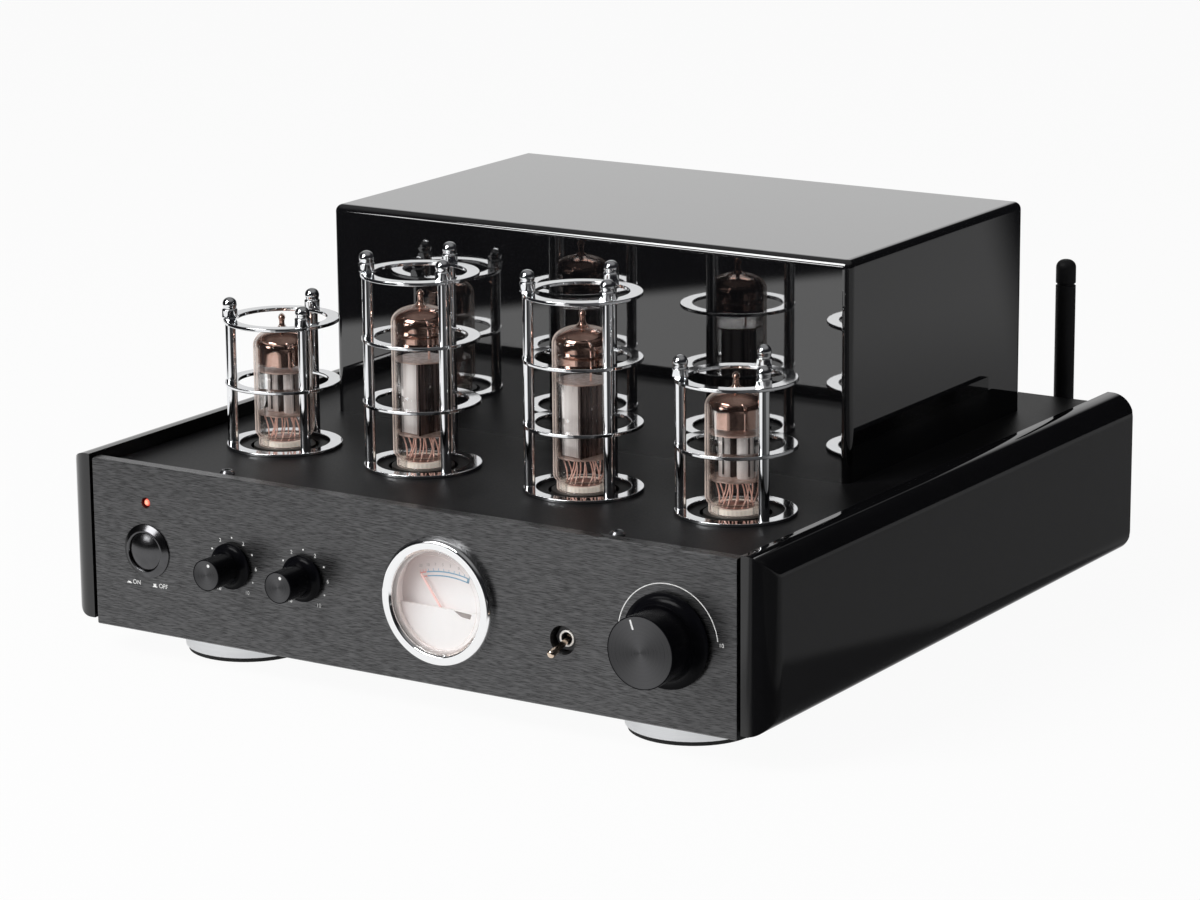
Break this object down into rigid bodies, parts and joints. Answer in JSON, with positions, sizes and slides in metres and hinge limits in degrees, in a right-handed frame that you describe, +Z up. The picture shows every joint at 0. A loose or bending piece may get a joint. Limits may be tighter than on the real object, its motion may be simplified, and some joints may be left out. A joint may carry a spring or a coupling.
{
  "type": "hybrid tube amplifier",
  "caption": "Low black stereo amplifier with caged glass tubes, a round level meter, tone and volume knobs, a gloss transformer cover and a folding aerial.",
  "frame": {"origin": "on the table, under the middle of the whole object's box", "axes": "+X to the right as seen from the front, +Y to the back, +Z up; the front panel faces -Y"},
  "size_m": [0.3, 0.3194, 0.1531],
  "materials": {
    "black_panel": "brushed, black anodised",
    "deck_black": "fine satin black paint",
    "tray_black": "satin black paint",
    "piano_black": "high-gloss black lacquer",
    "cover_black": "high-gloss black lacquer",
    "foot_silver": "turned, satin",
    "foot_rubber": "matte",
    "screw_steel": "blackened",
    "board_green": "solder resist",
    "socket_black": "moulded dark resin",
    "tube_glass": "clear glass",
    "electrode_grey": "blackened nickel plates, mica and wires",
    "pin_metal": "bright",
    "cage_chrome": "polished",
    "bezel_chrome": "polished",
    "button_black": "glossy black",
    "switch_black": "moulded",
    "lamp_red": "clear red, lit",
    "knob_black": "turned, black anodised",
    "shaft_steel": "turned",
    "nickel_brass": "nickel and brass",
    "gold_brass": "gold plated",
    "meter_black": "moulded",
    "lens_clear": "clear",
    "dial_white": "printed white, lit from behind",
    "needle_red": "satin red",
    "magnet_grey": "plain",
    "aerial_black": "moulded, matte",
    "cap_red": "moulded red",
    "cap_black": "moulded black",
    "winding_tape": "yellow winding tape over copper and steel",
    "component_grey": "mixed components"
  },
  "bodies": {
    "amplifier": {"chassis_tray": "tray_black", "deck_plate": "deck_black", "rear_panel": "tray_black", "front_panel": "black_panel", "left_cheek": "piano_black", "right_cheek": "piano_black", "transformer_cover": "cover_black", "foot_shells": "foot_silver", "foot_pads": "foot_rubber", "deck_screws": "screw_steel", "case_screws": "screw_steel", "tube_board": "board_green", "tube_sockets": "socket_black", "left_driver_glass": "tube_glass", "left_power_glass": "tube_glass", "right_power_glass": "tube_glass", "right_driver_glass": "tube_glass", "driver_electrodes": "electrode_grey", "power_electrodes": "electrode_grey", "tube_pins": "pin_metal", "left_driver_rings": "cage_chrome", "left_power_rings": "cage_chrome", "right_power_rings": "cage_chrome", "right_driver_rings": "cage_chrome", "cage_posts": "cage_chrome", "cage_finials": "cage_chrome", "cage_screws": "screw_steel", "power_bezel": "button_black", "power_switch": "switch_black", "power_lamp": "lamp_red", "control_pots": "shaft_steel", "control_nuts": "shaft_steel", "source_switch": "nickel_brass", "meter_bezel": "bezel_chrome", "meter_case": "meter_black", "meter_lens": "lens_clear", "meter_dial": "dial_white", "meter_movement": "magnet_grey", "aerial_socket": "gold_brass", "line_sockets": "gold_brass", "speaker_posts": "gold_brass", "mains_inlet": "switch_black", "power_transformer": "winding_tape", "amp_board": "board_green", "amp_components": "component_grey"},
    "button": {"power_button": "button_black"},
    "treble": {"treble_knob": "knob_black", "treble_shaft": "shaft_steel"},
    "bass": {"bass_knob": "knob_black", "bass_shaft": "shaft_steel"},
    "volume": {"volume_knob": "knob_black", "volume_shaft": "shaft_steel"},
    "lever": {"source_lever": "nickel_brass"},
    "needle": {"meter_needle": "needle_red"},
    "knuckle": {"aerial_knuckle": "aerial_black"},
    "whip": {"aerial_whip": "aerial_black"},
    "cap_left_plus": {"left_plus_cap": "cap_red"},
    "cap_left_minus": {"left_minus_cap": "cap_black"},
    "cap_right_plus": {"right_plus_cap": "cap_red"},
    "cap_right_minus": {"right_minus_cap": "cap_black"}
  },
  "joints": [
    {"name": "power_push", "type": "slide", "parent": "amplifier", "child": "button", "axis": [0, 1, 0], "range_m": [-0.002, 0.001], "stiffness_N_per_m": 800},
    {"name": "treble_turn", "type": "hinge", "parent": "amplifier", "child": "treble", "pos_m": [-0.0739, -0.14175, 0.0433], "axis": [0, 1, 0], "range_deg": [-167, 133]},
    {"name": "bass_turn", "type": "hinge", "parent": "amplifier", "child": "bass", "pos_m": [-0.0419, -0.14175, 0.0433], "axis": [0, 1, 0], "range_deg": [-167, 133]},
    {"name": "volume_turn", "type": "hinge", "parent": "amplifier", "child": "volume", "pos_m": [0.1105, -0.14175, 0.0433], "axis": [0, 1, 0], "range_deg": [-71, 109]},
    {"name": "source_throw", "type": "hinge", "parent": "amplifier", "child": "lever", "pos_m": [0.0682, -0.13575, 0.0368], "axis": [-1, 0, 0], "range_deg": [0, 26]},
    {"name": "needle_swing", "type": "hinge", "parent": "amplifier", "child": "needle", "pos_m": [0.017, -0.13855, 0.0373], "axis": [0, 1, 0], "range_deg": [0, 72], "stiffness_Nm_per_rad": 0.0005},
    {"name": "aerial_swivel", "type": "hinge", "parent": "amplifier", "child": "knuckle", "pos_m": [0.1134, 0.14125, 0.052], "axis": [0, 1, 0], "range_deg": [-90, 90]},
    {"name": "aerial_fold", "type": "hinge", "parent": "knuckle", "child": "whip", "pos_m": [0.1134, 0.15225, 0.052], "axis": [-1, 0, 0], "range_deg": [0, 90]},
    {"name": "left_plus_turn", "type": "hinge", "parent": "amplifier", "child": "cap_left_plus", "pos_m": [-0.0335, 0.14125, 0.034], "axis": [0, 1, 0], "range_deg": [0, 720]},
    {"name": "left_minus_turn", "type": "hinge", "parent": "amplifier", "child": "cap_left_minus", "pos_m": [-0.0145, 0.14125, 0.034], "axis": [0, 1, 0], "range_deg": [0, 720]},
    {"name": "right_plus_turn", "type": "hinge", "parent": "amplifier", "child": "cap_right_plus", "pos_m": [0.0225, 0.14125, 0.034], "axis": [0, 1, 0], "range_deg": [0, 720]},
    {"name": "right_minus_turn", "type": "hinge", "parent": "amplifier", "child": "cap_right_minus", "pos_m": [0.0415, 0.14125, 0.034], "axis": [0, 1, 0], "range_deg": [0, 720]}
  ]
}
